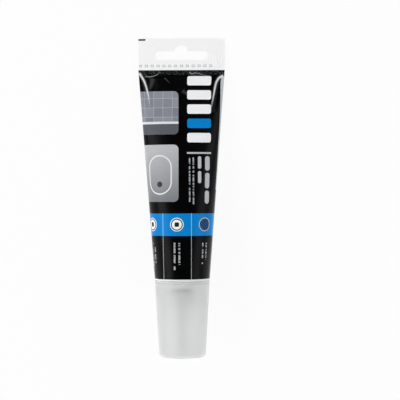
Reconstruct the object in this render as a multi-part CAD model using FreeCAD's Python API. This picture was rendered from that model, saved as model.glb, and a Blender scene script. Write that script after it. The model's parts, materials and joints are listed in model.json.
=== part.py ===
# A sealed squeeze tube of joint sealant that lies on its back, in millimetres.
# A printed film sleeve is welded to a moulded shoulder at its round end. Its other end is crimped flat and
# runs on into a hang tail with a slot. A nozzle is screwed on the neck, and a tall push-on cap covers it.
# Every piece is made about the tube's own axis: the sleeve's round end lies at y = 0, the tail points to +Y,
# the cap to -Y and the printed front to +Z. At the end the pieces are laid on the floor together.
import FreeCAD, Part
import math
import os

# Sleeve and its tail
tube_radius = 17.5
sleeve_length = 132.4
film_thickness = 0.45
tail_above_slot = 4.0
tail_corner_radius = 0.6
front_slope_at_shoulder = 0.03
front_slope_at_tail = 0.22
back_slope_at_tail = 0.26
back_rest_share = 0.72
back_flattening = 0.25
section_count = 13
section_steps = 16

# Hang slot in the tail: a long slot with a round peak in the middle of its upper edge
slot_length = 33.0
slot_height = 5.9
slot_above_sleeve = 6.1
slot_corner_radius = 1.5
slot_peak_radius = 4.0

# Shoulder: rim, seat for the cap, cone, shelf for the nozzle and closed neck
rim_thickness = 1.1
rim_edge_radius = 0.3
seat_height = 3.0
shoulder_wall = 1.2
cone_height = 2.9
neck_radius = 5.5
neck_length = 9.0
neck_wall = 1.3
membrane_thickness = 0.6

# Nozzle: ribbed collar and tapered spout
collar_wall = 1.6
collar_length = 11.0
collar_rib_count = 20
collar_rib_radius = 0.5
collar_rib_margin = 0.6
spout_base_radius = 4.0
spout_tip_radius = 2.3
spout_wall = 1.2
spout_shoulder_height = 1.2
cut_mark_depth = 0.2
cut_mark_width = 0.8
cut_marks_from_tip = (8.0, 14.0, 20.0)

# Cap
cap_length = 48.6
cap_step_in = 0.1
cap_taper = 2.65
cap_wall = 1.4
cap_corner_radius = 2.4
cap_lip_radius = 0.3

# Clearances
contents_gap = 0.05
cap_seat_gap = 0.15
cap_fit_clearance = 0.1
nozzle_seat_gap = 0.1
thread_clearance = 0.1
neck_end_gap = 0.3
spout_tip_gap = 1.75

# Sizes that follow from the ones above
flat_width = math.pi * tube_radius
tail_half = film_thickness
slot_start = sleeve_length + slot_above_sleeve
slot_end = slot_start + slot_height
tail_end = slot_end + slot_peak_radius + tail_above_slot
rest_slope = (tube_radius - tail_half) / tail_end
rest_tilt = math.degrees(math.atan(rest_slope))
cap_mouth = rim_thickness + cap_seat_gap
cap_end = cap_mouth + cap_length
cap_mouth_radius = tube_radius - cap_step_in
cap_end_radius = cap_mouth_radius - cap_taper
cap_bore_radius = cap_mouth_radius - cap_wall
seat_radius = cap_bore_radius - cap_fit_clearance
seat_end = rim_thickness + seat_height
shelf = seat_end + cone_height
neck_end = shelf + neck_length
neck_bore_radius = neck_radius - neck_wall
collar_bore_radius = neck_radius + thread_clearance
collar_radius = collar_bore_radius + collar_wall
collar_start = shelf + nozzle_seat_gap
collar_end = collar_start + collar_length
shelf_radius = collar_radius + collar_rib_radius
spout_start = collar_end + spout_shoulder_height
spout_end = cap_end - cap_wall - spout_tip_gap


def curve_between(share, start, end, slope_start, slope_end):
    """Height at a share of the way along a smooth curve with these ends and slopes per unit of share."""
    square = share * share
    cube = square * share
    from_ends = start * (2 * cube - 3 * square + 1) + end * (3 * square - 2 * cube)
    from_slopes = slope_start * (cube - 2 * square + share) + slope_end * (cube - square)
    return from_ends + from_slopes


def front_height(y):
    """How far the sleeve's filled front bulges above the tail's plane."""
    slope_start = -front_slope_at_shoulder * sleeve_length
    slope_end = -front_slope_at_tail * sleeve_length
    return curve_between(y / sleeve_length, tube_radius, tail_half, slope_start, slope_end)


def back_depth(y):
    """How far the back reaches below the tail's plane: it lies on the floor, then rises to the crimp."""
    rest_end = back_rest_share * sleeve_length
    if y <= rest_end:
        return tube_radius - rest_slope * y
    span = sleeve_length - rest_end
    start = tube_radius - rest_slope * rest_end
    slope_end = -back_slope_at_tail * span
    return curve_between((y - rest_end) / span, start, tail_half, -rest_slope * span, slope_end)


def half_section(y, front):
    """Upper or lower half of the sleeve's outline at y, as one smooth edge from side to side."""
    share = y / sleeve_length
    half_width = tube_radius + share * (flat_width / 2 - tube_radius)
    flatter = 1 - back_flattening * math.sin(math.pi * share)
    points = []
    for step in range(section_steps + 1):
        angle = math.pi * step / section_steps
        rise = max(0, math.sin(angle))
        height = front_height(y) * rise if front else -back_depth(y) * rise ** flatter
        points.append(FreeCAD.Vector(half_width * math.cos(angle), y, height))
    edge = Part.BSplineCurve()
    edge.interpolate(points)
    return edge.toShape()


def sleeve_section(y):
    """Closed outline of the sleeve at y. Its girth stays within about one percent of the round end's."""
    return Part.Wire([half_section(y, True), half_section(y, False)])


def turned(profile):
    """Solid of revolution about the tube's axis, from corners given as (distance towards the cap, radius)."""
    corners = [FreeCAD.Vector(0, -distance, radius) for distance, radius in profile]
    face = Part.Face(Part.makePolygon(corners + corners[:1]))
    return face.revolve(FreeCAD.Vector(0, 0, 0), FreeCAD.Vector(0, 1, 0), 360)


def round_edges(solid, radius, places):
    """Rounds the circular edges that lie at these (distance towards the cap, radius) places."""
    edges = []
    for edge in solid.Edges:
        if not isinstance(edge.Curve, Part.Circle):
            continue
        for distance, edge_radius in places:
            level = abs(edge.Curve.Center.y + distance) < 0.001
            if level and abs(edge.Curve.Radius - edge_radius) < 0.001:
                edges.append(edge)
    return solid.makeFillet(radius, edges)


def bar(width, start, end, half_height):
    """Flat bar centred on the tube's axis, from y = start to y = end."""
    corner = FreeCAD.Vector(-width / 2, start, -half_height)
    return Part.makeBox(width, end - start, 2 * half_height, corner)


def upright_edges(solid, from_y, to_y):
    """Edges across the tail's thickness between two distances along the tube."""
    found = []
    for edge in solid.Edges:
        low, high = edge.BoundBox.ZMin, edge.BoundBox.ZMax
        across = edge.BoundBox.XLength < 0.001 and edge.BoundBox.YLength < 0.001
        if across and high - low > film_thickness and from_y <= edge.BoundBox.YMin <= to_y:
            found.append(edge)
    return found


def make_tail():
    """Two layers of film pressed flat, with the slot for a display hook."""
    tail = bar(flat_width, sleeve_length - film_thickness, tail_end, tail_half)
    tail = tail.makeFillet(tail_corner_radius, upright_edges(tail, tail_end - 1, tail_end + 1))
    slot = bar(slot_length, slot_start, slot_end, 2 * tail_half)
    slot = slot.makeFillet(slot_corner_radius, upright_edges(slot, slot_start - 1, slot_end + 1))
    peak_base = FreeCAD.Vector(0, slot_end, -2 * tail_half)
    peak = Part.makeCylinder(slot_peak_radius, 4 * tail_half, peak_base)
    return tail.cut(slot.fuse(peak))


def shoulder_inside(gap):
    """Profile of the space inside the shoulder and the neck, drawn smaller by a gap."""
    bore = neck_bore_radius - gap
    well = seat_radius - shoulder_wall - gap
    return [
        (seat_end - shoulder_wall, well),
        (shelf - shoulder_wall, bore),
        (neck_end - membrane_thickness - gap, bore),
        (neck_end - membrane_thickness - gap, 0),
    ]


def make_filled_sleeve():
    """Sealed film sleeve with its contents, which reach up into the neck, and the tail."""
    levels = [sleeve_length * step / (section_count - 1) for step in range(section_count)]
    body = Part.makeLoft([sleeve_section(y) for y in levels], True, False)
    inside = shoulder_inside(contents_gap)
    start = -film_thickness
    contents = turned([(start, 0), (start, inside[0][1])] + inside)
    return body.fuse([make_tail(), contents]).removeSplitter()


def make_shoulder():
    """Moulded head of the tube, closed by a membrane at the end of its neck."""
    inside = shoulder_inside(0)
    outside = [
        (neck_end, 0),
        (neck_end, neck_radius),
        (shelf, neck_radius),
        (shelf, shelf_radius),
        (seat_end, seat_radius - shoulder_wall),
        (seat_end, seat_radius),
        (rim_thickness, seat_radius),
        (rim_thickness, tube_radius),
        (0, tube_radius),
    ]
    shoulder = turned([(0, inside[0][1])] + inside + outside)
    places = [(rim_thickness, tube_radius), (seat_end, seat_radius), (neck_end, neck_radius)]
    return round_edges(shoulder, rim_edge_radius, places)


def spout_radius(distance):
    """Outer radius of the spout at a distance towards the cap."""
    share = (distance - spout_start) / (spout_end - spout_start)
    return spout_base_radius + share * (spout_tip_radius - spout_base_radius)


def make_nozzle():
    """Nozzle with a ribbed collar, a through passage and rings that mark where to cut it."""
    bore_end = neck_end + neck_end_gap
    outside = [
        (collar_start, collar_bore_radius),
        (collar_start, collar_radius),
        (collar_end, collar_radius),
        (spout_start, spout_base_radius),
    ]
    for from_tip in sorted(cut_marks_from_tip, reverse=True):
        middle = spout_end - from_tip
        half = cut_mark_width / 2
        outside.append((middle - half, spout_radius(middle - half)))
        outside.append((middle, spout_radius(middle) - cut_mark_depth))
        outside.append((middle + half, spout_radius(middle + half)))
    outside.append((spout_end, spout_tip_radius))
    inside = [
        (spout_end, spout_tip_radius - spout_wall),
        (bore_end, spout_base_radius - spout_wall),
        (bore_end, collar_bore_radius),
    ]
    nozzle = turned(outside + inside)
    rib_length = collar_length - 2 * collar_rib_margin
    foot = FreeCAD.Vector(collar_radius, -collar_start - collar_rib_margin, 0)
    rib = Part.makeCylinder(collar_rib_radius, rib_length, foot, FreeCAD.Vector(0, -1, 0))
    ribs = []
    for index in range(collar_rib_count):
        turned_rib = rib.copy()
        turn = 360 * index / collar_rib_count
        turned_rib.rotate(FreeCAD.Vector(0, 0, 0), FreeCAD.Vector(0, 1, 0), turn)
        ribs.append(turned_rib)
    return nozzle.fuse(ribs)


def make_cap():
    """Tapered cap, open at the mouth, with a straight seat and then a wall of one thickness."""
    seat_depth = cap_mouth + seat_height
    inner_end_radius = cap_end_radius - cap_wall
    cap = turned([
        (cap_mouth, cap_bore_radius),
        (cap_mouth, cap_mouth_radius),
        (cap_end, cap_end_radius),
        (cap_end, 0),
        (cap_end - cap_wall, 0),
        (cap_end - cap_wall, inner_end_radius),
        (seat_depth, cap_bore_radius),
    ])
    cap = round_edges(cap, cap_corner_radius, [(cap_end, cap_end_radius)])
    cap = round_edges(cap, cap_corner_radius / 2, [(cap_end - cap_wall, inner_end_radius)])
    lip = [(cap_mouth, cap_mouth_radius), (cap_mouth, cap_bore_radius)]
    return round_edges(cap, cap_lip_radius, lip)


def lay_down(shapes):
    """Tilts the tube until its back and the tail's end meet the floor, and centres it on the origin."""
    for shape in shapes:
        shape.rotate(FreeCAD.Vector(0, 0, 0), FreeCAD.Vector(1, 0, 0), -rest_tilt)
    box = Part.makeCompound(shapes).optimalBoundingBox(False)
    move = FreeCAD.Vector(0, -(box.YMin + box.YMax) / 2, -box.ZMin)
    for shape in shapes:
        shape.translate(move)
    print("rest tilt", round(rest_tilt, 4), "degrees, axis at y = 0 moved by", move)
    print("length", box.YLength, "width", box.XLength, "height", box.ZLength)


pieces = {
    "filled_sleeve": make_filled_sleeve(),
    "shoulder": make_shoulder(),
    "nozzle": make_nozzle(),
    "cap": make_cap(),
}
lay_down(list(pieces.values()))
os.makedirs("parts", exist_ok=True)
for name, shape in pieces.items():
    print(name, "solids", len(shape.Solids), "valid", shape.isValid(), "volume", round(shape.Volume, 1))
    shape.exportStep("parts/" + name + ".step")
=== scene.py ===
# Looks of a sealed squeeze tube that lies on its back: a printed film sleeve that runs on into a hang tail,
# a moulded shoulder, a nozzle and a tall frosted cap. Sizes are in millimetres, and MM turns them to metres.
import json
import math

import bpy
import numpy as np
from mathutils import Matrix, Vector


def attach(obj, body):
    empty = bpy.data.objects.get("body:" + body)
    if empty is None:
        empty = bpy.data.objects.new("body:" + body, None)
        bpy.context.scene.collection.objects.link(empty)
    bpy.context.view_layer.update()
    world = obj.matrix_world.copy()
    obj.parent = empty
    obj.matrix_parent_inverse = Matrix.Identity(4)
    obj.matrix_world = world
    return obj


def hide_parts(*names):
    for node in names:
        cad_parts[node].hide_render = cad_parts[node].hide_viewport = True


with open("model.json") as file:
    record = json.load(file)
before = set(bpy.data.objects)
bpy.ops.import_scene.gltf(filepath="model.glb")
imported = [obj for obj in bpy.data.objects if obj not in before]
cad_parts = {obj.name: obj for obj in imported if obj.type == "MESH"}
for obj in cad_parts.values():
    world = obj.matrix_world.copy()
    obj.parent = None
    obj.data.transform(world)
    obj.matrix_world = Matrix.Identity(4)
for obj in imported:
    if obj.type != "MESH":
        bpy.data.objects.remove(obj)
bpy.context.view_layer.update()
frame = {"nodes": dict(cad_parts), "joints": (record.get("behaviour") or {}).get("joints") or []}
MM = 0.001

# The tube's own axes: OUT points to the cap, ALONG to the tail and UP out of the printed front
joints = {joint["name"]: joint for joint in frame["joints"]}
OUT = Vector(joints["cap_pull"]["axis"]).normalized()
ALONG = -OUT
RIGHT = Vector((1, 0, 0))
UP = RIGHT.cross(ALONG)
hinge_from_round_end = 20.0
hinge_place = Vector(joints["nozzle_turn"]["pos_m"])
ROUND_END = hinge_place - OUT * hinge_from_round_end * MM

# Sleeve sizes, the same as in the part's source
tube_radius = 17.5
sleeve_length = 132.4
tail_end = 152.4
tail_half = 0.45
flat_width = math.pi * tube_radius
girth = 2 * flat_width
rest_slope = (tube_radius - tail_half) / tail_end
front_slope_at_shoulder = 0.03
front_slope_at_tail = 0.22
back_slope_at_tail = 0.26
back_rest_share = 0.72
back_flattening = 0.25
film_inset = 0.02


def tube_point(x, y, z):
    """Place in the row frame of a point given in millimetres on the tube's own axes."""
    return ROUND_END + (RIGHT * x + ALONG * y + UP * z) * MM


def tube_vector(x, y, z):
    """Direction and length in the row frame of a step in millimetres on the tube's own axes."""
    return (RIGHT * x + ALONG * y + UP * z) * MM


def start_alone():
    """Leaves edit mode and deselects everything."""
    if bpy.context.object and bpy.context.object.mode != "OBJECT":
        bpy.ops.object.mode_set(mode="OBJECT")
    bpy.ops.object.select_all(action="DESELECT")


def name_new(name):
    """Names the object that was just added, and its mesh."""
    piece = bpy.context.object
    piece.name = name
    piece.data.name = name
    return piece


# The film sleeve and its tail


def curve_between(share, start, end, slope_start, slope_end):
    """Height at a share of the way along a smooth curve with these ends and slopes."""
    square = share * share
    cube = square * share
    from_ends = start * (2 * cube - 3 * square + 1) + end * (3 * square - 2 * cube)
    return from_ends + slope_start * (cube - 2 * square + share) + slope_end * (cube - square)


def front_height(y):
    """How far the filled front bulges above the tail's plane."""
    if y >= sleeve_length:
        return tail_half
    slope_start = -front_slope_at_shoulder * sleeve_length
    slope_end = -front_slope_at_tail * sleeve_length
    return curve_between(y / sleeve_length, tube_radius, tail_half, slope_start, slope_end)


def back_depth(y):
    """How far the back reaches below the tail's plane: it lies on the floor, then rises to the crimp."""
    if y >= sleeve_length:
        return tail_half
    rest_end = back_rest_share * sleeve_length
    if y <= rest_end:
        return tube_radius - rest_slope * y
    span = sleeve_length - rest_end
    start = tube_radius - rest_slope * rest_end
    slope_end = -back_slope_at_tail * span
    return curve_between((y - rest_end) / span, start, tail_half, -rest_slope * span, slope_end)


tail_corner_radius = 0.6
seal_start = 128.6
seal_fade = 4.0
flat_power = 0.3
outline_points = 1441


def film_outline(y, shares):
    """Points (x, z) round the sleeve at y, for shares from -1 to 1 of the way round and 0 at the front."""
    share = min(1, y / sleeve_length)
    half_width = tube_radius + share * (flat_width / 2 - tube_radius) - film_inset
    into_corner = y - (tail_end - tail_corner_radius)
    if into_corner > 0:
        into_corner = min(into_corner, tail_corner_radius)
        half_width -= tail_corner_radius - math.sqrt(tail_corner_radius ** 2 - into_corner ** 2)
    pressed = min(1, max(0, (y - seal_start + seal_fade) / seal_fade))
    front_power = 1 - pressed * (1 - flat_power)
    back_power = (1 - back_flattening * math.sin(math.pi * share)) * front_power
    angle = np.linspace(math.pi / 2, -math.pi / 2, outline_points)
    x = half_width * np.cos(angle)
    rise = np.abs(np.sin(angle))
    front = (front_height(y) - film_inset) * rise ** front_power
    back = -(back_depth(y) - film_inset) * rise ** back_power
    z = np.where(angle >= 0, front, back)
    lengths = np.concatenate([[0], np.cumsum(np.hypot(np.diff(x), np.diff(z)))])
    lengths /= lengths[-1]
    around = np.abs(shares)
    side = np.sign(shares)
    return side * np.interp(around, lengths, x), np.interp(around, lengths, z)


def near_path(u, v, path):
    """Signed distance of each point to a path, positive on its outer side, and the share along the path."""
    nearest = np.full(u.shape, np.inf)
    signed = np.zeros(u.shape)
    along = np.zeros(u.shape)
    for index, (start, end) in enumerate(zip(path, path[1:])):
        step_u, step_v = end[0] - start[0], end[1] - start[1]
        length = math.hypot(step_u, step_v)
        share = ((u - start[0]) * step_u + (v - start[1]) * step_v) / length ** 2
        share = np.clip(share, 0, 1)
        off_u = u - start[0] - share * step_u
        off_v = v - start[1] - share * step_v
        distance = np.hypot(off_u, off_v)
        side = np.sign(step_u * off_v - step_v * off_u)
        closer = distance < nearest
        nearest = np.where(closer, distance, nearest)
        signed = np.where(closer, distance * side, signed)
        along = np.where(closer, (index + share) / (len(path) - 1), along)
    return signed, along


# Creases where the filled front folds down into the flat corners, as (around, along) in millimetres
left_crease = [(-27.2, 130.6), (-26.0, 129.4), (-24.9, 127.5), (-23.9, 125.0), (-22.9, 122.0),
               (-22.1, 118.8), (-21.3, 115.4), (-20.8, 112.0), (-20.4, 108.0)]
right_crease = [(26.8, 128.4), (25.2, 128.1), (23.6, 126.9), (22.4, 124.6), (21.6, 121.4),
                (20.9, 117.4), (20.2, 113.4), (19.4, 109.6), (18.4, 106.0)]
# Paths of painted highlight lines on the thin lips where the seal's two films part, and on a short fold
# below them
left_lip = [(-23.4, 128.4), (-20.6, 127.9), (-17.6, 128.3), (-15.3, 129.3), (-14.0, 130.7), (-14.1, 131.7)]
right_lip = [(5.0, 131.4), (5.5, 130.1), (6.9, 129.6), (8.3, 130.5), (11.4, 129.7), (15.4, 128.8),
             (20.0, 128.5)]
short_fold = [(-10.8, 127.3), (-9.2, 125.5), (-7.2, 123.5)]
# Soft folds in the relief, which also get a faint painted highlight
corner_fold = [(-18.3, 127.2), (-18.9, 124.6), (-19.8, 121.8), (-21.0, 118.4)]
middle_fold = [(0.4, 118.9), (2.4, 117.5), (4.4, 115.6)]
# How strong the painted highlight on each is, from 0 to 1, and over what half width
painted_highlight_folds = [
    (left_crease, 0.97, 0.66), (right_crease, 1.0, 0.66), (left_lip, 0.34, 0.26), (right_lip, 0.38, 0.26),
    (short_fold, 0.09, 0.25), (corner_fold, 0.05, 1.5), (middle_fold, 0.045, 0.9),
]
# Which side of each is the outer one, how high its ridge stands and how deep the hollow beside it is
raised_folds = [
    (left_crease, -1, 0.28, 0.55), (right_crease, 1, 0.34, 0.7),
    (corner_fold, 1, 0.12, 0.2), (middle_fold, 1, 0.08, 0.12),
]
ridge_half_width = 0.75
hollow_offset = 2.3
hollow_half_width = 1.5
fold_start_share = 0.06
fold_fade_power = 0.6


def crease(u, v, path, outer_side, ridge, valley):
    """Height of a fold: a narrow ridge on the path and a wider hollow on its outer side."""
    signed, along = near_path(u, v, path)
    offset = signed * outer_side
    share = np.clip(fold_start_share + (1 - fold_start_share) * along, 0, 1)
    fade = np.clip(np.sin(math.pi * share), 0, 1) ** fold_fade_power
    raised = ridge * np.exp(-(offset / ridge_half_width) ** 2)
    sunk = valley * np.exp(-((offset - hollow_offset) / hollow_half_width) ** 2)
    return fade * (raised - sunk)


def seal_edge(u):
    """Where along the tube the wavy lip of the seal lies: three waves of a few millimetres each."""
    broad = 0.75 * np.sin(u / 3.1 + 0.8) * np.sin(u / 7.3)
    middling = -0.35 * np.cos(u / 1.9)
    fine = 0.3 * np.sin(u / 0.95 + 0.4) * np.sin(u / 5.7 + 1.3)
    return seal_start + broad + middling + fine


fade_in_share = 0.08
fade_out_share = 0.35
width_at_start = 1.15
width_lost = 0.7


def painted_fold_highlights(u, v):
    """How strongly the folds are painted pale as painted highlights, from 0 to 1."""
    highlight_paint_share = np.zeros(u.shape)
    for path, strength, width in painted_highlight_folds:
        signed, along = near_path(u, v, path)
        fade = np.clip(np.minimum(along / fade_in_share, (1 - along) / fade_out_share), 0, 1)
        narrowed = width * (width_at_start - width_lost * along)
        highlight_paint_share = np.maximum(highlight_paint_share, strength * fade * np.exp(-(signed / narrowed) ** 2))
    return highlight_paint_share


dent_depth = 0.1
dents_from_shoulder = 12
dents_from_seal = 10
lip_height = 0.16
lip_half_width = 0.45
lip_hollow = 0.12
lip_hollow_offset = 1.2
lip_hollow_half_width = 0.7


def film_relief(u, v):
    """Height in millimetres that handling, filling and crimping add to the film at (around, along)."""
    height = np.zeros(u.shape)
    for path, outer_side, ridge, valley in raised_folds:
        height += crease(u, v, path, outer_side, ridge, valley)
    # Broad soft dents of a filled film, none at the weld to the shoulder
    settle = np.clip(v / dents_from_shoulder, 0, 1) * np.clip((seal_start - v) / dents_from_seal, 0, 1)
    dents = np.sin(u / 5.3 + v / 17 + 0.6) * np.sin(v / 9.5 - u / 23 + 1.1)
    dents += 0.6 * np.sin(u / 8.1 - v / 12.5 + 2.0) * np.sin(v / 21 + u / 9.7)
    height += dent_depth * settle * dents
    # Edge of the seal: a thin wavy lip where the two films part
    below_edge = seal_edge(u) - v
    height += lip_height * np.exp(-(below_edge / lip_half_width) ** 2)
    height -= lip_hollow * np.exp(-((below_edge - lip_hollow_offset) / lip_hollow_half_width) ** 2)
    return height


rib_columns = 4
column_count = 448
rib_pitch = girth / column_count * rib_columns
rib_height = 0.16
ribs_start = 133.6
ribs_end = 148.5
ribs_fade_in = 0.8
ribs_fade_out = 9
ribs_full_from = 14
ribs_full_over = 9
ribs_least_share = 0.25


def crimp_ribs(u, v):
    """Fine ribs that the crimping jaws press into the tail, strongest at its lower corner."""
    zone = np.clip((v - ribs_start) / ribs_fade_in, 0, 1) * np.clip((ribs_end - v) / ribs_fade_out, 0, 1)
    toward_corner = np.clip((u - ribs_full_from) / ribs_full_over, 0, 1)
    strength = ribs_least_share + (1 - ribs_least_share) * toward_corner
    return rib_height * zone * strength * np.cos(2 * math.pi * u / rib_pitch)


def film_levels():
    """Distances along the tube of the rows of the film's mesh, closer where it wrinkles."""
    return np.concatenate([
        np.arange(0, 96, 1.2),
        np.arange(96, 126, 0.5),
        np.arange(126, ribs_start, 0.28),
        np.arange(ribs_start, 151.4, 0.89),
        [151.8, 152.0, 152.2, 152.32, tail_end],
    ])


lap_width = 6
lap_height = 0.1
lap_step = 0.6
lap_end = 0.5
flat_edge = 1.5
bare_weld = 3
seam_merge = 2e-6


def make_film():
    """A flat sheet is rolled round the section, its edges are merged at the back and its ends are closed."""
    start_alone()
    levels = film_levels()
    row_count = len(levels) - 1
    bpy.ops.mesh.primitive_grid_add(x_subdivisions=column_count, y_subdivisions=row_count, size=1)
    film = name_new("printed_tube")
    mesh = film.data
    flat = np.zeros(len(mesh.vertices) * 3)
    mesh.vertices.foreach_get("co", flat)
    flat = flat.reshape(-1, 3)
    columns, column = np.unique(np.round(flat[:, 0], 6), return_inverse=True)
    rows, row = np.unique(np.round(flat[:, 1], 6), return_inverse=True)
    shares = np.linspace(-1, 1, len(columns))
    u, v = np.meshgrid(shares * flat_width, levels)
    x = np.zeros(u.shape)
    z = np.zeros(u.shape)
    for index, y in enumerate(levels):
        x[index], z[index] = film_outline(y, shares)
    surface = np.stack([x, v, z], axis=2)
    across = np.gradient(surface, axis=1)
    across[:, 0] = across[:, -1] = surface[:, 1] - surface[:, -2]
    lengthwise = np.gradient(surface, axis=0)
    normal = np.cross(across, lengthwise)
    normal /= np.linalg.norm(normal, axis=2, keepdims=True)
    on_front = np.clip((flat_width / 2 - np.abs(u)) / flat_edge, 0, 1)
    bare_edge = np.clip(v / bare_weld, 0, 1)
    height = film_relief(u, v) * on_front * bare_edge
    height += crimp_ribs(u, v) * on_front
    # Lap joint down the middle of the back
    lap = np.clip((flat_width - np.abs(u)) / 0.4, 0, 1) * np.clip((flat_width - u) / lap_width, 0, 1)
    over = np.where(u > 0, np.clip((u - flat_width + lap_width) / lap_step, 0, 1), 0)
    over *= np.clip((flat_width - u) / lap_end, 0, 1) * (v < sleeve_length)
    height += lap_height * over * bare_edge * lap
    surface += normal * height[..., None]
    surface[..., 0] = np.clip(surface[..., 0], -flat_width / 2, flat_width / 2)
    placed = surface[row, column]
    axes = np.array([RIGHT, ALONG, UP])
    world = np.array(ROUND_END) + placed @ axes * MM
    mesh.vertices.foreach_set("co", world.reshape(-1))
    on_film = mesh.uv_layers.active
    on_film.name = "film_mm"
    corner = np.zeros(len(mesh.loops), int)
    mesh.loops.foreach_get("vertex_index", corner)
    pairs = np.stack([u[row, column], v[row, column]], axis=1)[corner]
    on_film.data.foreach_set("uv", pairs.reshape(-1))
    # Share of painted highlight along the folds, kept on the points for the film's material
    highlight_paint_share = painted_fold_highlights(u, v) * (np.abs(u) < flat_width / 2)
    mesh.attributes.new("highlight_paint_share", "FLOAT", "POINT").data.foreach_set("value", highlight_paint_share[row, column])
    bpy.ops.object.mode_set(mode="EDIT")
    bpy.ops.mesh.select_all(action="SELECT")
    bpy.ops.mesh.remove_doubles(threshold=seam_merge)
    bpy.ops.mesh.select_all(action="DESELECT")
    bpy.ops.mesh.select_mode(type="EDGE")
    bpy.ops.mesh.select_non_manifold()
    bpy.ops.mesh.fill_holes(sides=0)
    bpy.ops.mesh.select_all(action="SELECT")
    bpy.ops.mesh.normals_make_consistent(inside=False)
    bpy.ops.object.mode_set(mode="OBJECT")
    return film


slot_length = 33.0
slot_start = 138.5
slot_height = 5.9
slot_corner_radius = 1.5
slot_peak_radius = 4.0
cutter_depth = 4.0
sliver_length = 1e-5


def cut_slot(film):
    """Punches the hang slot: a long bar with rounded corners and a round peak on its upper edge."""
    start_alone()
    slot_end = slot_start + slot_height
    turn = (OUT.cross(Vector((0, -1, 0)))).length
    tilt = -math.asin(turn)
    bpy.ops.mesh.primitive_cube_add(size=1, location=tube_point(0, slot_start + slot_height / 2, 0))
    bar = name_new("slot_bar")
    bar.scale = (slot_length * MM, slot_height * MM, cutter_depth * MM)
    bar.rotation_euler = (tilt, 0, 0)
    bpy.ops.object.transform_apply(location=True, rotation=True, scale=True)
    bpy.ops.object.mode_set(mode="EDIT")
    bpy.ops.mesh.select_mode(type="EDGE")
    bpy.ops.mesh.select_all(action="DESELECT")
    bpy.ops.object.mode_set(mode="OBJECT")
    for edge in bar.data.edges:
        ends = [bar.data.vertices[index].co for index in edge.vertices]
        edge.select = abs((ends[1] - ends[0]).normalized().dot(UP)) > 0.99
    bpy.ops.object.mode_set(mode="EDIT")
    bpy.ops.mesh.bevel(offset=slot_corner_radius * MM, segments=6, affect="EDGES")
    start_alone()
    bpy.ops.mesh.primitive_cylinder_add(
        vertices=64, radius=slot_peak_radius * MM, depth=cutter_depth * MM,
        location=tube_point(0, slot_end, 0), rotation=(tilt, 0, 0))
    peak = name_new("slot_peak")
    bpy.ops.object.transform_apply(location=True, rotation=True, scale=True)
    for cutter in (bar, peak):
        start_alone()
        bpy.context.view_layer.objects.active = film
        film.select_set(True)
        cut = film.modifiers.new("punch", "BOOLEAN")
        cut.operation = "DIFFERENCE"
        cut.solver = "EXACT"
        cut.object = cutter
        bpy.ops.object.modifier_apply(modifier=cut.name)
        bpy.data.objects.remove(cutter)
    # Slivers where the punch meets the film's rows are merged, and many-sided faces become triangles
    bpy.ops.object.mode_set(mode="EDIT")
    bpy.ops.mesh.select_all(action="SELECT")
    bpy.ops.mesh.remove_doubles(threshold=sliver_length)
    bpy.ops.mesh.dissolve_degenerate(threshold=sliver_length)
    bpy.ops.mesh.select_all(action="DESELECT")
    bpy.ops.mesh.select_mode(type="FACE")
    bpy.ops.mesh.select_face_by_sides(number=4, type="GREATER")
    bpy.ops.mesh.quads_convert_to_tris(quad_method="BEAUTY", ngon_method="BEAUTY")
    bpy.ops.object.mode_set(mode="OBJECT")
    # The slot's walls take the tail's bare white
    on_film = film.data.uv_layers["film_mm"]
    for face in film.data.polygons:
        from_round_end = (face.center - ROUND_END).dot(ALONG) / MM
        if from_round_end > slot_start - 1 and abs(face.normal.dot(UP)) < 0.5:
            for corner in face.loop_indices:
                on_film.data[corner].uv = (0, tail_end - 1)


film = make_film()
cut_slot(film)

# Turned pieces


def spin_profile(name, profile, steps):
    """Draws a profile of (distance towards the cap, radius) by pulling out one vertex, then spins it."""
    start_alone()
    first = profile[0]
    bpy.ops.mesh.primitive_plane_add(size=MM, location=tube_point(0, -first[0], first[1]))
    piece = name_new(name)
    bpy.ops.object.transform_apply(location=True, rotation=True, scale=True)
    bpy.ops.object.mode_set(mode="EDIT")
    bpy.ops.mesh.select_mode(type="VERT")
    bpy.ops.mesh.select_all(action="SELECT")
    bpy.ops.mesh.merge(type="CENTER")
    for before, after in zip(profile, profile[1:]):
        step = tube_vector(0, before[0] - after[0], after[1] - before[1])
        bpy.ops.mesh.extrude_vertices_move(TRANSFORM_OT_translate={"value": step})
    bpy.ops.mesh.select_all(action="SELECT")
    bpy.ops.mesh.spin(steps=steps, angle=2 * math.pi, center=ROUND_END, axis=OUT)
    bpy.ops.mesh.select_all(action="SELECT")
    bpy.ops.mesh.remove_doubles(threshold=1e-6)
    bpy.ops.mesh.normals_make_consistent(inside=False)
    bpy.ops.object.mode_set(mode="OBJECT")
    return piece


def round_rings(piece, radius, segments, places):
    """Rounds the rings of edges that lie at these (distance towards the cap, radius) places."""
    start_alone()
    bpy.context.view_layer.objects.active = piece
    piece.select_set(True)
    bpy.ops.object.mode_set(mode="EDIT")
    bpy.ops.mesh.select_mode(type="EDGE")
    bpy.ops.mesh.select_all(action="DESELECT")
    bpy.ops.object.mode_set(mode="OBJECT")
    at_place = []
    for vertex in piece.data.vertices:
        from_end = (vertex.co - ROUND_END) / MM
        distance = from_end.dot(OUT)
        from_axis = (from_end - OUT * distance).length
        at_place.append(any(
            abs(distance - place[0]) < 0.01 and abs(from_axis - place[1]) < 0.01 for place in places))
    for edge in piece.data.edges:
        edge.select = at_place[edge.vertices[0]] and at_place[edge.vertices[1]]
    bpy.ops.object.mode_set(mode="EDIT")
    bpy.ops.mesh.bevel(offset=radius * MM, segments=segments, affect="EDGES")
    bpy.ops.object.mode_set(mode="OBJECT")


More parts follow.
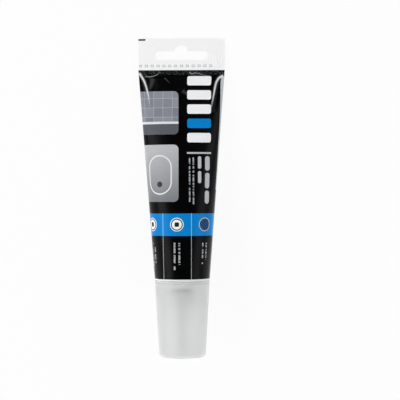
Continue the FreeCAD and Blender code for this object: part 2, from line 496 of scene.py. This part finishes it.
# Cap, as (distance from the round end, radius): dished end, tapered wall, a fine groove near the mouth, the
# mouth's lip, and the inside with the step that stops on the shoulder
cap_profile = [
    (49.65, 0), (49.65, 0.8), (49.4, 0.95), (49.4, 3.1), (49.85, 3.6),
    (49.85, 14.75), (3.3, 17.288), (2.95, 17.14), (2.6, 17.326), (1.25, 17.4), (1.25, 16.0), (4.25, 16.0),
    (48.45, 13.35), (48.45, 0),
]
cap = spin_profile("frosted_cap", cap_profile, 144)
round_rings(cap, 2.4, 9, [(49.85, 14.75)])
round_rings(cap, 1.2, 5, [(48.45, 13.35)])
round_rings(cap, 0.3, 3, [(1.25, 17.4), (1.25, 16.0)])

# Nozzle: a collar with grip ribs and an undercut foot, and a tapered spout with rings that mark where to cut
collar_start = 7.1
collar_end = 18.1
collar_radius = 7.2
collar_bore = 5.6
undercut_radius = 6.1
undercut_end = 8.5
rib_count = 20
rib_start = 8.8
rib_end = 17.3
rib_rise = 0.5
spout_start = 19.3
spout_end = 46.7
spout_base = 4.0
spout_tip = 2.3
spout_wall = 1.2
bore_end = 16.3
cut_mark_depth = 0.2
cut_mark_half = 0.4
cut_marks = (26.7, 32.7, 38.7)
nozzle_steps = 160


def spout_radius(distance):
    """Outer radius of the spout at a distance towards the cap."""
    share = (distance - spout_start) / (spout_end - spout_start)
    return spout_base + share * (spout_tip - spout_base)


def make_nozzle():
    """Spins the nozzle's profile as a closed loop, then raises the grip ribs on its collar."""
    outside = [
        (collar_start, collar_bore), (collar_start, undercut_radius), (undercut_end, undercut_radius),
        (undercut_end, collar_radius), (rib_start, collar_radius), (rib_start + 0.5, collar_radius),
        (rib_end - 0.7, collar_radius), (rib_end, collar_radius), (collar_end, collar_radius),
        (spout_start, spout_base),
    ]
    for middle in cut_marks:
        outside.append((middle - cut_mark_half, spout_radius(middle - cut_mark_half)))
        outside.append((middle, spout_radius(middle) - cut_mark_depth))
        outside.append((middle + cut_mark_half, spout_radius(middle + cut_mark_half)))
    outside.append((spout_end, spout_tip))
    inside = [
        (spout_end, spout_tip - spout_wall), (bore_end, spout_base - spout_wall), (bore_end, collar_bore),
    ]
    nozzle = spin_profile("nozzle_ribbed", outside + inside + outside[:1], nozzle_steps)
    per_rib = nozzle_steps // rib_count
    for vertex in nozzle.data.vertices:
        from_end = (vertex.co - ROUND_END) / MM
        distance = from_end.dot(OUT)
        radial = from_end - OUT * distance
        on_collar = rib_start + 0.1 < distance < rib_end - 0.1 and radial.length > collar_radius - 0.1
        if on_collar:
            turn = math.atan2(radial.x, radial.dot(UP)) / (2 * math.pi) * nozzle_steps
            from_rib = abs((turn + per_rib / 2) % per_rib - per_rib / 2)
            rise = rib_rise * math.sqrt(max(0, 1 - (from_rib / (per_rib / 3)) ** 2))
            vertex.co += radial.normalized() * rise * MM
    round_rings(nozzle, 0.3, 3, [(collar_end, collar_radius)])
    round_rings(nozzle, 0.25, 3, [(spout_end, spout_tip)])
    return nozzle


nozzle = make_nozzle()

# Materials


def linear(hex_colour):
    """Linear colour of an sRGB hex value."""
    values = [int(hex_colour[index:index + 2], 16) / 255 for index in (1, 3, 5)]
    lit = [value / 12.92 if value <= 0.04045 else ((value + 0.055) / 1.055) ** 2.4 for value in values]
    return (*lit, 1)


def add_node(material, kind, settings=None, inputs=None):
    """Adds a node with its settings, values and links."""
    node = material.node_tree.nodes.new("ShaderNode" + kind)
    for name, value in (settings or {}).items():
        setattr(node, name, value)
    for name, value in (inputs or {}).items():
        socket = node.inputs[name]
        if isinstance(value, bpy.types.NodeSocket):
            material.node_tree.links.new(value, socket)
        else:
            socket.default_value = value
    return node


def new_material(name):
    """A material with only a Principled shader and its output."""
    material = bpy.data.materials.new(name)
    material.use_nodes = True
    return material, material.node_tree.nodes["Principled BSDF"]


def wear(piece, material):
    """Gives a piece one material."""
    piece.data.materials.clear()
    piece.data.materials.append(material)


# Printed polyethylene laminate film, reverse printed and lacquered: deep black ink under a satin gloss
ink_edge = 0.12
film_ink, film_shader = new_material("printed_laminate_film")
film_place = add_node(film_ink, "UVMap", {"uv_map": "film_mm"}).outputs["UV"]
film_axes = add_node(film_ink, "SeparateXYZ", inputs={0: film_place})
around = film_axes.outputs["X"]
along = film_axes.outputs["Y"]


def field(centre, size, corner=0.0, place=None):
    """Share of ink in a patch with rounded corners, around a centre (around, along) in millimetres."""
    corner = max(corner, ink_edge / 2)
    half = (max(0, size[0] / 2 - corner), max(0, size[1] / 2 - corner), 0)
    off = add_node(film_ink, "VectorMath", {"operation": "SUBTRACT"},
                   {0: place or film_place, 1: (*centre, 0)}).outputs[0]
    off = add_node(film_ink, "VectorMath", {"operation": "ABSOLUTE"}, {0: off}).outputs[0]
    off = add_node(film_ink, "VectorMath", {"operation": "SUBTRACT"}, {0: off, 1: half}).outputs[0]
    off = add_node(film_ink, "VectorMath", {"operation": "MAXIMUM"}, {0: off, 1: (0, 0, 0)}).outputs[0]
    off = add_node(film_ink, "VectorMath", {"operation": "LENGTH"}, {0: off}).outputs["Value"]
    return add_node(film_ink, "Math", {"operation": "MULTIPLY_ADD", "use_clamp": True},
                    {0: off, 1: -1 / ink_edge, 2: corner / ink_edge + 0.5}).outputs[0]


def disc(centre, width, place=None):
    """Share of ink in a round patch."""
    return field(centre, (width, width), width / 2, place)


def joined(fields):
    """One field of ink from several."""
    whole = fields[0]
    for other in fields[1:]:
        whole = add_node(film_ink, "Math", {"operation": "MAXIMUM"}, {0: whole, 1: other}).outputs[0]
    return whole


def shared(first, second):
    """The part of a field of ink that lies in another field too."""
    return add_node(film_ink, "Math", {"operation": "MULTIPLY"}, {0: first, 1: second}).outputs[0]


def outside(patch):
    """All of the film except a field."""
    return add_node(film_ink, "Math", {"operation": "SUBTRACT"}, {0: 1.0, 1: patch}).outputs[0]


def repeated(first, pitch):
    """Coordinates in which a patch at 0 repeats around the film at a pitch, the first one's place given."""
    from_first = add_node(film_ink, "Math", {"operation": "SUBTRACT"}, {0: around, 1: first}).outputs[0]
    from_nearest = add_node(film_ink, "Math", {"operation": "WRAP"},
                            {0: from_first, 1: pitch / 2, 2: -pitch / 2}).outputs[0]
    return add_node(film_ink, "CombineXYZ", inputs={"X": from_nearest, "Y": along}).outputs[0]


black_ink = linear("#010102")
blue_ink = linear("#0883D1")
white_ink = linear("#F7F8F9")
pale_ink = linear("#BFC3C6")
navy_ink = linear("#0F2B4C")
dark_ink = linear("#23282F")
print_layers = []

# Two panels on the left: a tiled wall with a bead above a worktop, and a basin with its drain
tiles = add_node(film_ink, "TexBrick", {"offset": 0.0}, {
    "Vector": film_place, "Color1": linear("#7D808B"), "Color2": linear("#9497A2"),
    "Mortar": linear("#BEC0C5"), "Scale": 1.0, "Mortar Size": 0.14, "Mortar Smooth": 0.4,
    "Bias": 0.0, "Brick Width": 6.0, "Row Height": 6.0}).outputs["Color"]
upper_panel = field((-16.0, 104.8), (28.0, 27.6), 3.0)
worktop = field((-16.0, 94.0), (40, 8.0))
bead = field((-16.0, 98.4), (40, 1.5), 0.7)
print_layers += [
    (tiles, upper_panel),
    (linear("#5C5F66"), shared(upper_panel, worktop)),
    (linear("#E4E6E8"), shared(upper_panel, bead)),
]
# The basin panel goes from dark at its lower end to pale at its upper end
lower_shade = add_node(film_ink, "Math", {"operation": "MULTIPLY_ADD", "use_clamp": True},
                       {0: along, 1: 0.022, 2: -0.95}).outputs[0]
lower_tone = add_node(film_ink, "Mix", {"data_type": "RGBA"},
                      {0: lower_shade, 6: linear("#6F7277"), 7: linear("#C6C8CA")}).outputs[2]
basin_middle = (-14.2, 65.5)
basin_rim = shared(field(basin_middle, (16, 25), 8.0), outside(field(basin_middle, (14.4, 23.4), 7.2)))
print_layers += [
    (lower_tone, field((-16.0, 66.5), (28.0, 36.0), 3.0)),
    (linear("#EAEBEC"), basin_rim),
    (linear("#3A3D42"), disc((-14.2, 59.5), 3.6)),
]

# Bold bars on the right, white with one blue, and a rule below them
bar_size = (15.4, 6.0)
print_layers += [
    (white_ink, joined([field((11.3, height), bar_size, 1.3) for height in (125.3, 116.2, 107.1, 88.9)])),
    (blue_ink, field((11.3, 98.0), bar_size, 1.3)),
    (pale_ink, field((11.3, 79.2), (15.9, 1.1), 0.3)),
]

# Rounded dashes in two rows, and fine broken lines
dashes = joined([
    field((16.6, 72.6), (3.2, 9.0), 1.5), field((16.6, 61.8), (3.2, 9.8), 1.5),
    field((16.6, 51.4), (3.2, 8.2), 1.5), field((11.4, 73.2), (2.2, 7.8), 1.0),
    field((11.4, 64.0), (2.2, 7.6), 1.0),
])
across_lines = add_node(film_ink, "Math", {"operation": "MULTIPLY"}, {0: around, 1: 0.12}).outputs[0]
down_lines = add_node(film_ink, "Math", {"operation": "MULTIPLY"}, {0: along, 1: 0.75}).outputs[0]
line_place = add_node(film_ink, "CombineXYZ", inputs={"X": across_lines, "Y": down_lines}).outputs[0]
line_grain = add_node(film_ink, "TexNoise", {"noise_dimensions": "2D"},
                      {"Vector": line_place, "Scale": 1.0, "Detail": 2.0}).outputs["Fac"]
broken = add_node(film_ink, "Math", {"operation": "MULTIPLY_ADD", "use_clamp": True},
                  {0: line_grain, 1: 16.0, 2: -7.4}).outputs[0]
fine_lines = joined([
    field((7.4, 61.5), (0.9, 30)), field((5.0, 62.5), (0.9, 28)),
    field((-4.6, 14.5), (1.1, 17)), field((-1.6, 16.0), (1.1, 14)),
    field((14.0, 15.0), (1.1, 16)), field((17.0, 17.5), (1.1, 11)),
    field((-22.6, 14.5), (1.0, 17)), field((-19.8, 16.5), (1.0, 13)),
])
print_layers += [(pale_ink, dashes), (linear("#A9ADB0"), shared(fine_lines, broken))]

# Pale panels with ruled lines at the sides and the back
rule_pitch = 1.9
rule_gap = 1.25
from_rule = add_node(film_ink, "Math", {"operation": "WRAP"}, {0: around, 1: rule_pitch, 2: 0.0}).outputs[0]
rules = add_node(film_ink, "Math", {"operation": "GREATER_THAN"}, {0: from_rule, 1: rule_gap}).outputs[0]
ruled_area = joined([field((39.5, 92), (22, 66)), field((-41, 84), (16, 70))])
print_layers += [
    (linear("#C4C8CC"), joined([field((38.5, 92), (26.5, 72), 0.5), field((-41, 84), (20, 76), 0.5)])),
    (linear("#6B6E74"), shared(shared(rules, broken), ruled_area)),
]

# Blue band with a ringed disc in each of six panels, one of them hatched, and the lines between the panels
band_start = 27.2
band_end = 41.2
band_middle = (band_start + band_end) / 2
band_panel = girth / 6
line_width = 0.42
disc_height = 34.3
first_line = 6.0
first_disc = -3.15
hatched_disc = (15.2, disc_height)
hatch_pitch = 2.2
hatch_gap = 1.2
at_line = repeated(first_line, band_panel)
at_disc = repeated(first_disc, band_panel)
aslant = add_node(film_ink, "Math", {"operation": "ADD"}, {0: around, 1: along}).outputs[0]
from_hatch = add_node(film_ink, "Math", {"operation": "WRAP"},
                      {0: aslant, 1: hatch_pitch, 2: 0.0}).outputs[0]
hatching = add_node(film_ink, "Math", {"operation": "GREATER_THAN"},
                    {0: from_hatch, 1: hatch_gap}).outputs[0]
print_layers += [
    (blue_ink, field((0, band_middle), (2 * girth, band_end - band_start))),
    (linear("#A0A3A6"), field((0, band_start / 2), (line_width, band_start), place=at_line)),
    (linear("#74D8FA"), field((0, band_middle), (line_width, band_end - band_start), place=at_line)),
    (white_ink, disc((0, disc_height), 8.5, at_disc)),
    (dark_ink, disc((0, disc_height), 7.5, at_disc)),
    (white_ink, disc((0, disc_height), 6.2, at_disc)),
    (dark_ink, field((0, disc_height), (2.8, 2.8), 0.7, at_disc)),
    (pale_ink, disc(hatched_disc, 8.5)),
    (navy_ink, disc(hatched_disc, 7.5)),
    (linear("#2A629C"), shared(hatching, disc(hatched_disc, 7.1))),
]

# Painted highlights: pale lines painted along the folds, and pale specks painted on the seal band as painted
# glints
highlight_paint_mask = add_node(film_ink, "Attribute", {"attribute_name": "highlight_paint_share"}).outputs["Fac"]
# Pale specks painted on the seal band stand for painted glints
seal_glint_noise = add_node(film_ink, "TexNoise", {"noise_dimensions": "2D"},
                  {"Vector": film_place, "Scale": 1.1, "Detail": 3.0, "Roughness": 0.7}).outputs["Fac"]
seal_glint_specks = add_node(film_ink, "Math", {"operation": "MULTIPLY_ADD", "use_clamp": True},
                   {0: seal_glint_noise, 1: 1.1, 2: -0.56}).outputs[0]
print_layers += [
    (linear("#F0F1F2"), highlight_paint_mask),
    (pale_ink, shared(seal_glint_specks, field((0, 131.0), (2 * flat_width, 3.4), 0.3))),
]

# The unprinted white film of the tail, with a registration dash and a row of hollow ticks
print_end = 132.2
bare = add_node(film_ink, "Math", {"operation": "MULTIPLY_ADD", "use_clamp": True},
                {0: along, 1: 1 / ink_edge, 2: 0.5 - print_end / ink_edge}).outputs[0]
tick_height = 134.9
tick_pitch = 3.7
at_tick = repeated(0.0, tick_pitch)
hollow_tick = shared(field((0, tick_height), (1.9, 1.5), 0.3, at_tick),
                     outside(field((0, tick_height), (1.2, 0.8), 0.2, at_tick)))
print_layers += [
    (linear("#FCFCFC"), bare),
    (linear("#1A1A1C"), field((-25.0, 151.5), (4.4, 1.0))),
    (linear("#AFB0B2"), shared(hollow_tick, field((-tick_pitch, tick_height), (13 * tick_pitch, 4)))),
]

# The inks lie over each other in this order, on black
printed = black_ink
for ink, where in print_layers:
    printed = add_node(film_ink, "Mix", {"data_type": "RGBA"}, {0: where, 6: printed, 7: ink}).outputs[2]
film_ink.node_tree.links.new(printed, film_shader.inputs["Base Color"])

# Handling leaves patches of a few centimetres a little duller, and the film's skin is faintly uneven
handling = add_node(film_ink, "TexNoise", inputs={
    "Vector": film_place, "Scale": 0.09, "Detail": 4.0}).outputs["Fac"]
film_roughness = add_node(film_ink, "MapRange", inputs={
    "Value": handling, "From Min": 0.3, "From Max": 0.7, "To Min": 0.2, "To Max": 0.3}).outputs[0]
film_ink.node_tree.links.new(film_roughness, film_shader.inputs["Roughness"])
film_shader.inputs["IOR"].default_value = 1.5
film_shader.inputs["Specular IOR Level"].default_value = 0.1
skin = add_node(film_ink, "TexNoise", inputs={
    "Vector": film_place, "Scale": 0.7, "Detail": 3.0}).outputs["Fac"]
film_bump = add_node(film_ink, "Bump", inputs={"Strength": 0.25, "Distance": 0.08 * MM, "Height": skin})
film_ink.node_tree.links.new(film_bump.outputs[0], film_shader.inputs["Normal"])
wear(film, film_ink)

# Natural polypropylene, injection moulded with an eroded matt skin: milky, lets some light through
frosted, frosted_shader = new_material("natural_polypropylene_frosted")
frosted_shader.inputs["IOR"].default_value = 1.49
frosted_shader.inputs["Transmission Weight"].default_value = 0.55
frosted_shader.inputs["Alpha"].default_value = 0.52
frosted_shader.inputs["Specular IOR Level"].default_value = 0.3
frosted_place = add_node(frosted, "TexCoord").outputs["Object"]
eroded = add_node(frosted, "TexNoise", inputs={
    "Vector": frosted_place, "Scale": 1400.0, "Detail": 2.0}).outputs["Fac"]
frosted_roughness = add_node(frosted, "MapRange", inputs={
    "Value": eroded, "From Min": 0.3, "From Max": 0.7, "To Min": 0.41, "To Max": 0.47}).outputs[0]
frosted.node_tree.links.new(frosted_roughness, frosted_shader.inputs["Roughness"])
frosted_reach = add_node(frosted, "VectorMath", {"operation": "DOT_PRODUCT"}, {
    0: frosted_place, 1: OUT}).outputs["Value"]
# The fine groove near the mouth is painted a little darker over its own width: painted shade in the groove
groove_middle = ROUND_END.dot(OUT) + 2.95 * MM
groove_half_width = 0.32 * MM
groove_shade_paint = add_node(frosted, "Math", {"operation": "COMPARE"}, {
    0: frosted_reach, 1: groove_middle, 2: groove_half_width}).outputs[0]
frosted_colour_with_groove_shade = add_node(frosted, "Mix", {"data_type": "RGBA"}, {
    0: groove_shade_paint, 6: linear("#EAEBEB"), 7: linear("#D7D8D8")}).outputs[2]
frosted.node_tree.links.new(frosted_colour_with_groove_shade, frosted_shader.inputs["Base Color"])
frosted_bump = add_node(frosted, "Bump", inputs={"Strength": 0.3, "Distance": 0.04 * MM, "Height": eroded})
frosted.node_tree.links.new(frosted_bump.outputs[0], frosted_shader.inputs["Normal"])
wear(cap, frosted)

# White polyethylene, injection moulded: bright, a little waxy
white_plastic, white_shader = new_material("white_polyethylene_moulded")
white_shader.inputs["Base Color"].default_value = linear("#E9EAE9")
white_shader.inputs["Subsurface Weight"].default_value = 0.15
white_shader.inputs["Subsurface Scale"].default_value = 0.001
white_place = add_node(white_plastic, "TexCoord").outputs["Object"]
waxy = add_node(white_plastic, "TexNoise", inputs={
    "Vector": white_place, "Scale": 300.0, "Detail": 3.0}).outputs["Fac"]
white_roughness = add_node(white_plastic, "MapRange", inputs={
    "Value": waxy, "From Min": 0.3, "From Max": 0.7, "To Min": 0.35, "To Max": 0.45}).outputs[0]
white_plastic.node_tree.links.new(white_roughness, white_shader.inputs["Roughness"])
wear(frame["nodes"]["shoulder"], white_plastic)

# Natural low density polyethylene, injection moulded: milky and slightly see-through at thin walls
natural, natural_shader = new_material("natural_polyethylene_moulded")
natural_shader.inputs["IOR"].default_value = 1.51
natural_shader.inputs["Transmission Weight"].default_value = 0.6
natural_place = add_node(natural, "TexCoord").outputs["Object"]
cloud = add_node(natural, "TexNoise", inputs={
    "Vector": natural_place, "Scale": 220.0, "Detail": 3.0}).outputs["Fac"]
natural_roughness = add_node(natural, "MapRange", inputs={
    "Value": cloud, "From Min": 0.3, "From Max": 0.7, "To Min": 0.3, "To Max": 0.42}).outputs[0]
natural.node_tree.links.new(natural_roughness, natural_shader.inputs["Roughness"])
natural_reach = add_node(natural, "VectorMath", {"operation": "DOT_PRODUCT"}, {
    0: natural_place, 1: OUT}).outputs["Value"]
# Below the undercut's end the foot is painted darker grey as painted shade under the collar, and made more
# opaque so that painted shade shows through the cap
above_foot = add_node(natural, "MapRange", {"interpolation_type": "SMOOTHSTEP"}, {
    "Value": natural_reach, "From Min": ROUND_END.dot(OUT) + (undercut_end - 0.2) * MM,
    "From Max": ROUND_END.dot(OUT) + (undercut_end + 0.3) * MM}).outputs[0]
natural_colour_with_foot_shade = add_node(natural, "Mix", {"data_type": "RGBA"}, {
    0: above_foot, 6: linear("#CDCECD"), 7: linear("#F5F6F4")}).outputs[2]
natural.node_tree.links.new(natural_colour_with_foot_shade, natural_shader.inputs["Base Color"])
natural_density = add_node(natural, "MapRange", inputs={
    "Value": above_foot, "To Min": 0.9, "To Max": 0.48}).outputs[0]
natural.node_tree.links.new(natural_density, natural_shader.inputs["Alpha"])
wear(nozzle, natural)

# Smooth shading, bodies and the solid that each piece stands for
for piece in (film, cap, nozzle):
    start_alone()
    bpy.context.view_layer.objects.active = piece
    piece.select_set(True)
    bpy.ops.object.shade_smooth_by_angle(angle=math.radians(40))
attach(film, "tube")
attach(cap, "cap")
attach(nozzle, "nozzle")
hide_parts("filled_sleeve")
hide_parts("cap")
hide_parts("nozzle")

# Floor, light and camera
start_alone()
bpy.ops.mesh.primitive_plane_add(size=6, location=(0, 0, 0))
floor = name_new("studio_floor")
# White card with a matt, unglazed face. What the camera sees is nearly white and keeps the tube's shadow
paper, paper_shader = new_material("white_paper_sweep")
paper_shader.inputs["Base Color"].default_value = linear("#F4F4F4")
paper_shader.inputs["Roughness"].default_value = 0.9
paper_shader.inputs["Specular IOR Level"].default_value = 0.1
paper_light = add_node(paper, "Emission", inputs={"Color": (1, 1, 1, 1), "Strength": 1.0})
paper_path = add_node(paper, "LightPath")
seen = add_node(paper, "Math", {"operation": "ADD", "use_clamp": True},
                {0: paper_path.outputs["Is Camera Ray"], 1: paper_path.outputs["Is Glossy Ray"]}).outputs[0]
seen = add_node(paper, "Math", {"operation": "ADD", "use_clamp": True},
                {0: seen, 1: paper_path.outputs["Is Transmission Ray"]}).outputs[0]
backdrop_share = 0.92
seen = add_node(paper, "Math", {"operation": "MULTIPLY"}, {0: seen, 1: backdrop_share}).outputs[0]
paper_mix = add_node(paper, "MixShader", inputs={
    0: seen, 1: paper_shader.outputs[0], 2: paper_light.outputs[0]})
paper_output = paper.node_tree.nodes["Material Output"]
paper.node_tree.links.new(paper_mix.outputs[0], paper_output.inputs["Surface"])
wear(floor, paper)

world = bpy.context.scene.world or bpy.data.worlds.new("studio")
bpy.context.scene.world = world
world.use_nodes = True
sky = world.node_tree.nodes["Background"]
world_direction = add_node(world, "TexCoord").outputs["Generated"]
world_height = add_node(world, "SeparateXYZ", inputs={0: world_direction}).outputs["Z"]
walls = add_node(world, "MapRange", {"interpolation_type": "SMOOTHSTEP"}, {
    "Value": world_height, "From Min": 0.5, "From Max": 0.8, "To Min": 0.64, "To Max": 0.16}).outputs[0]
world_path = add_node(world, "LightPath")
shown = add_node(world, "Math", {"operation": "ADD", "use_clamp": True}, {
    0: world_path.outputs["Is Camera Ray"], 1: world_path.outputs["Is Transmission Ray"]}).outputs[0]
strength = add_node(world, "Mix", {"data_type": "FLOAT"}, {0: shown, 2: walls, 3: 1.0}).outputs[0]
world.node_tree.links.new(strength, sky.inputs["Strength"])
sky.inputs["Color"].default_value = (1, 1, 1, 1)

tube_middle = tube_point(0, 50, 0)


def add_softbox(name, azimuth, elevation, distance, width, height, power):
    """A soft lamp that faces the tube's middle, with azimuth counted from the tail to the right."""
    start_alone()
    level = math.cos(math.radians(elevation)) * distance
    turn = math.radians(azimuth)
    place = tube_middle + Vector((math.sin(turn) * level, math.cos(turn) * level,
                                  math.sin(math.radians(elevation)) * distance))
    facing = (tube_middle - place).to_track_quat("-Z", "Y").to_euler()
    bpy.ops.object.light_add(type="AREA", location=place, rotation=facing)
    lamp = bpy.context.object
    lamp.name = name
    lamp.data.shape = "RECTANGLE"
    lamp.data.size = width
    lamp.data.size_y = height
    lamp.data.energy = power
    return lamp


# Azimuth and elevation in degrees, then distance, width and height in metres, and power in watts
add_softbox("softbox_left", -90, 34, 1.3, 2.8, 0.7, 13.0)
add_softbox("softbox_right", 90, 32, 1.3, 2.8, 0.7, 6.4)
add_softbox("softbox_cap_end", 180, 30, 1.3, 0.8, 0.6, 2.5)
add_softbox("strip_tail_left", -40, 38, 1.2, 0.25, 0.25, 1.2)
add_softbox("strip_tail_right", 34, 38, 1.2, 0.25, 0.25, 1.1)

start_alone()
# The camera looks straight down on the printed front, a little to the right and turned a trace
camera_height = 827.0
camera_side = 11.42
camera_along = 49.6
roll = math.radians(0.23)
view_angle = 17.49
bpy.ops.object.camera_add(location=tube_point(camera_side, camera_along, camera_height))
camera = bpy.context.object
camera.name = "product_camera"
image_right = RIGHT * math.cos(roll) - ALONG * math.sin(roll)
image_up = ALONG * math.cos(roll) + RIGHT * math.sin(roll)
turned = [[image_right[index], image_up[index], UP[index]] for index in range(3)]
camera.rotation_euler = Matrix(turned).to_euler()
camera.data.sensor_width = 36
camera.data.angle = math.radians(view_angle)
camera.data.clip_start = 0.01
bpy.context.scene.camera = camera
bpy.context.scene.view_settings.view_transform = "Standard"
